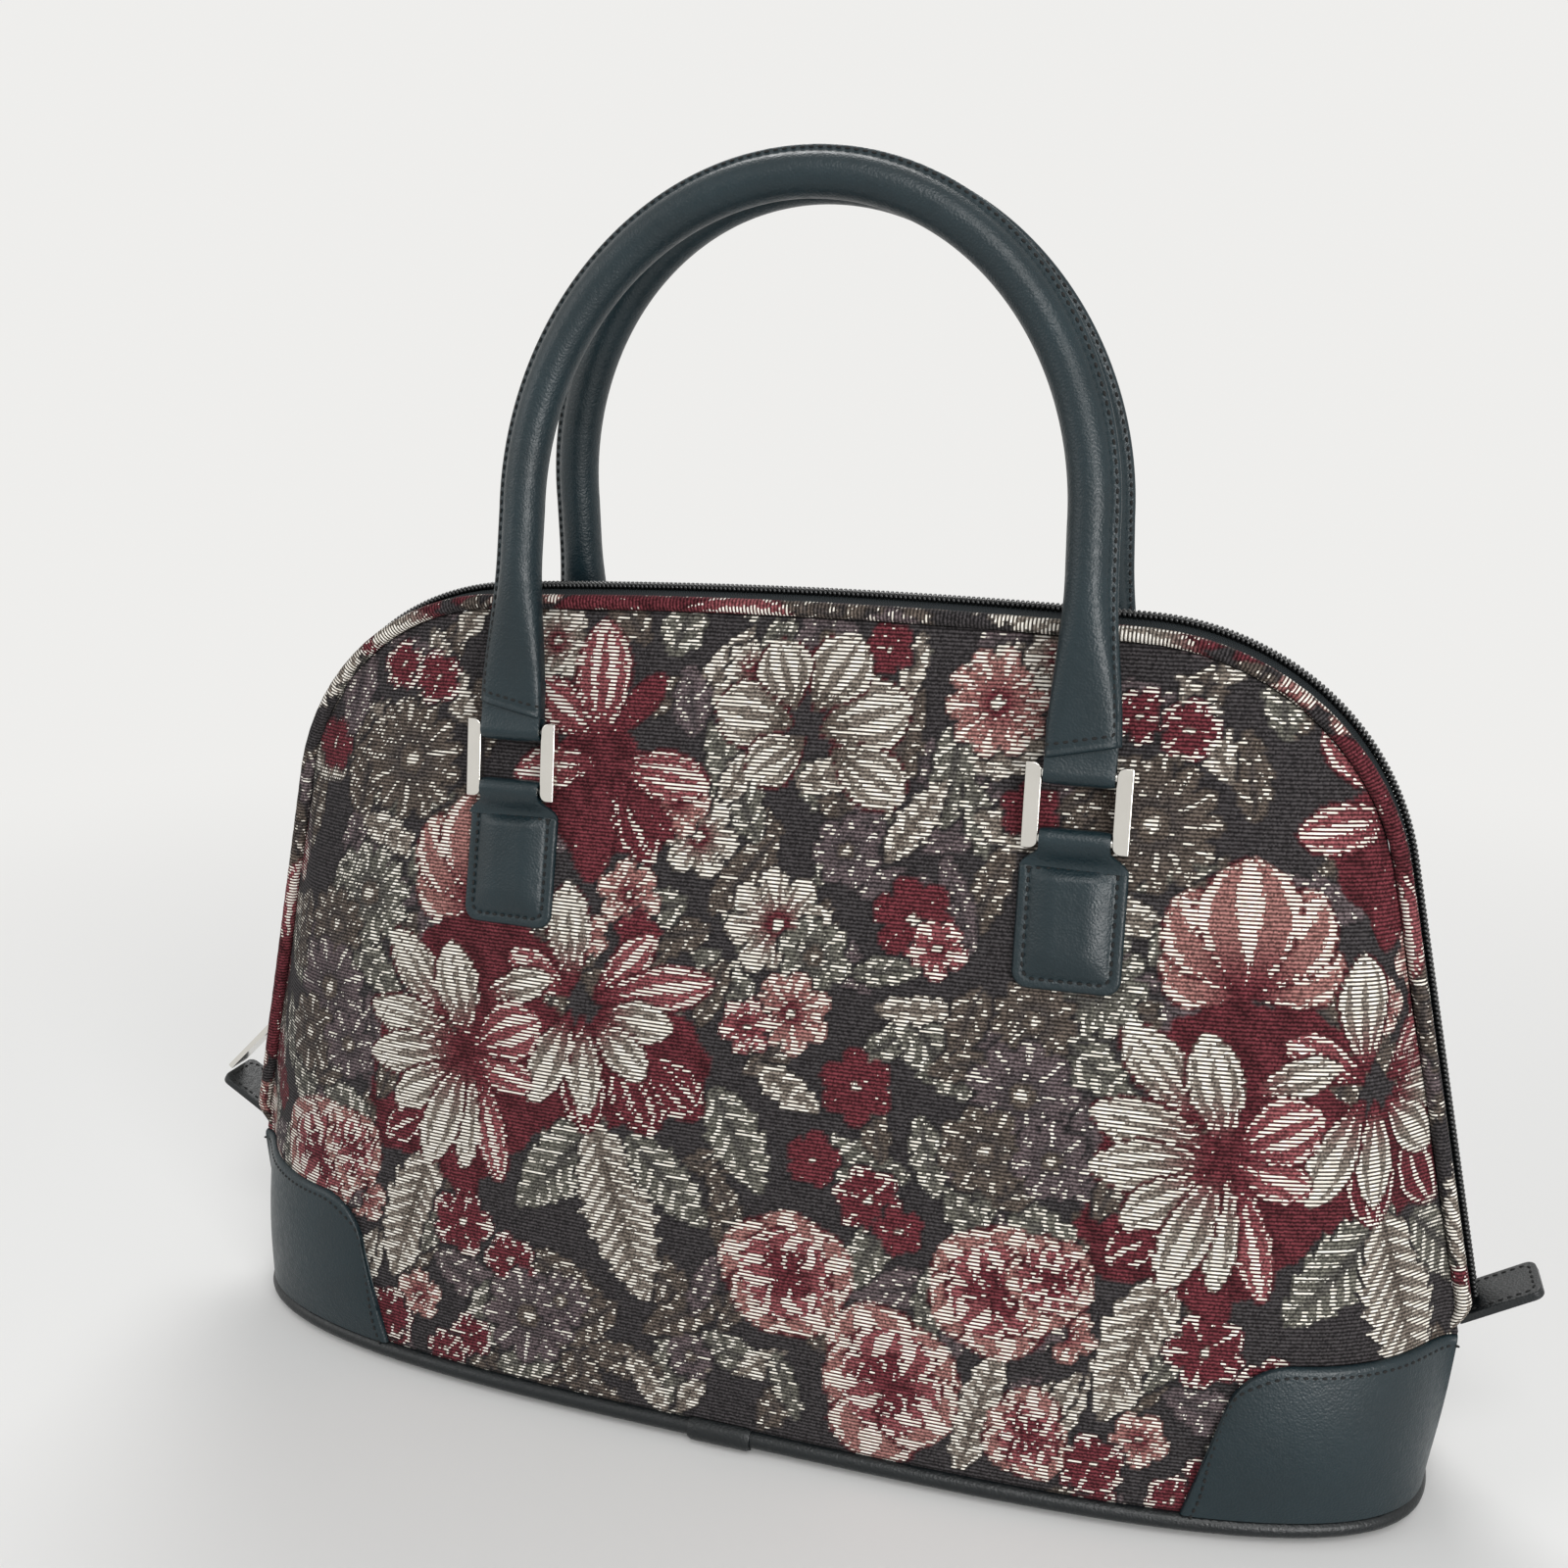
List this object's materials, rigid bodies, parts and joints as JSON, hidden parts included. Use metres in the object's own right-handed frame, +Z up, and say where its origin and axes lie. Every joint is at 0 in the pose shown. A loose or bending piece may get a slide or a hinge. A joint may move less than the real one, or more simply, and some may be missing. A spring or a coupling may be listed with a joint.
{
  "type": "carpet bag",
  "caption": "Domed floral tapestry bag with leather end caps and base, a zip round the dome and rolled leather handles on metal rings, for carrying by hand.",
  "frame": {"origin": "middle of the footprint, on the floor under the feet", "axes": "+X along the bag to the viewer's right, +Y from front to back, +Z up"},
  "size_m": [0.4646, 0.1272, 0.3999],
  "materials": {
    "tapestry": "ribbed floral weave",
    "piping": "ribbed weave over cord",
    "zip_tape": "woven tape",
    "zip_coil": "satin coil",
    "leather": "smooth fine grain",
    "board": "plain board",
    "ring_metal": "satin nickel",
    "slider_metal": "black enamel",
    "stud": "dark nickel"
  },
  "bodies": {
    "bag": {"front_panel": "tapestry", "back_panel": "tapestry", "front_piping": "piping", "back_piping": "piping", "front_zip_tape": "zip_tape", "back_zip_tape": "zip_tape", "zip_chain": "zip_coil", "left_zip_tab": "leather", "right_zip_tab": "leather", "left_end_cap": "leather", "right_end_cap": "leather", "base_panel": "leather", "base_board": "board", "base_piping": "leather", "base_piping_lap": "leather", "front_left_foot": "stud", "front_right_foot": "stud", "back_left_foot": "stud", "back_right_foot": "stud", "foot_washers": "stud", "front_left_tab": "leather", "front_right_tab": "leather", "back_left_tab": "leather", "back_right_tab": "leather"},
    "front_left_ring": {"front_left_ring": "ring_metal"},
    "front_right_ring": {"front_right_ring": "ring_metal"},
    "front_handle": {"front_handle": "leather", "front_left_strap": "leather", "front_right_strap": "leather"},
    "back_left_ring": {"back_left_ring": "ring_metal"},
    "back_right_ring": {"back_right_ring": "ring_metal"},
    "back_handle": {"back_handle": "leather", "back_left_strap": "leather", "back_right_strap": "leather"},
    "zip_slider": {"zip_slider": "slider_metal"},
    "zip_pull": {"zip_pull": "ring_metal"}
  },
  "joints": [
    {"name": "front_left_ring_hinge", "type": "hinge", "parent": "bag", "child": "front_left_ring", "pos_m": [-0.09, -0.03247, 0.206], "axis": [1, 0, 0], "range_deg": [0, 90]},
    {"name": "front_right_ring_hinge", "type": "hinge", "parent": "bag", "child": "front_right_ring", "pos_m": [0.09, -0.03247, 0.206], "axis": [1, 0, 0], "range_deg": [0, 90]},
    {"name": "front_handle_hinge", "type": "hinge", "parent": "front_left_ring", "child": "front_handle", "pos_m": [-0.09, -0.02996, 0.22483], "axis": [1, 0, 0], "range_deg": [0, 75]},
    {"name": "back_left_ring_hinge", "type": "hinge", "parent": "bag", "child": "back_left_ring", "pos_m": [-0.09, 0.03247, 0.206], "axis": [-1, 0, 0], "range_deg": [0, 90]},
    {"name": "back_right_ring_hinge", "type": "hinge", "parent": "bag", "child": "back_right_ring", "pos_m": [0.09, 0.03247, 0.206], "axis": [-1, 0, 0], "range_deg": [0, 90]},
    {"name": "back_handle_hinge", "type": "hinge", "parent": "back_left_ring", "child": "back_handle", "pos_m": [-0.09, 0.02996, 0.22483], "axis": [-1, 0, 0], "range_deg": [0, 75]},
    {"name": "zip_slide", "type": "slide", "parent": "bag", "child": "zip_slider", "axis": [0.2198, 0, 0.9755], "range_m": [0, 0.1]},
    {"name": "zip_pull_hinge", "type": "hinge", "parent": "zip_slider", "child": "zip_pull", "pos_m": [-0.21146, 0, 0.09562], "axis": [0, 1, 0], "range_deg": [0, 120]}
  ],
  "couplings": [
    {"joint": "front_right_ring_hinge", "follows": "front_left_ring_hinge", "ratio": 1},
    {"joint": "back_right_ring_hinge", "follows": "back_left_ring_hinge", "ratio": 1}
  ]
}
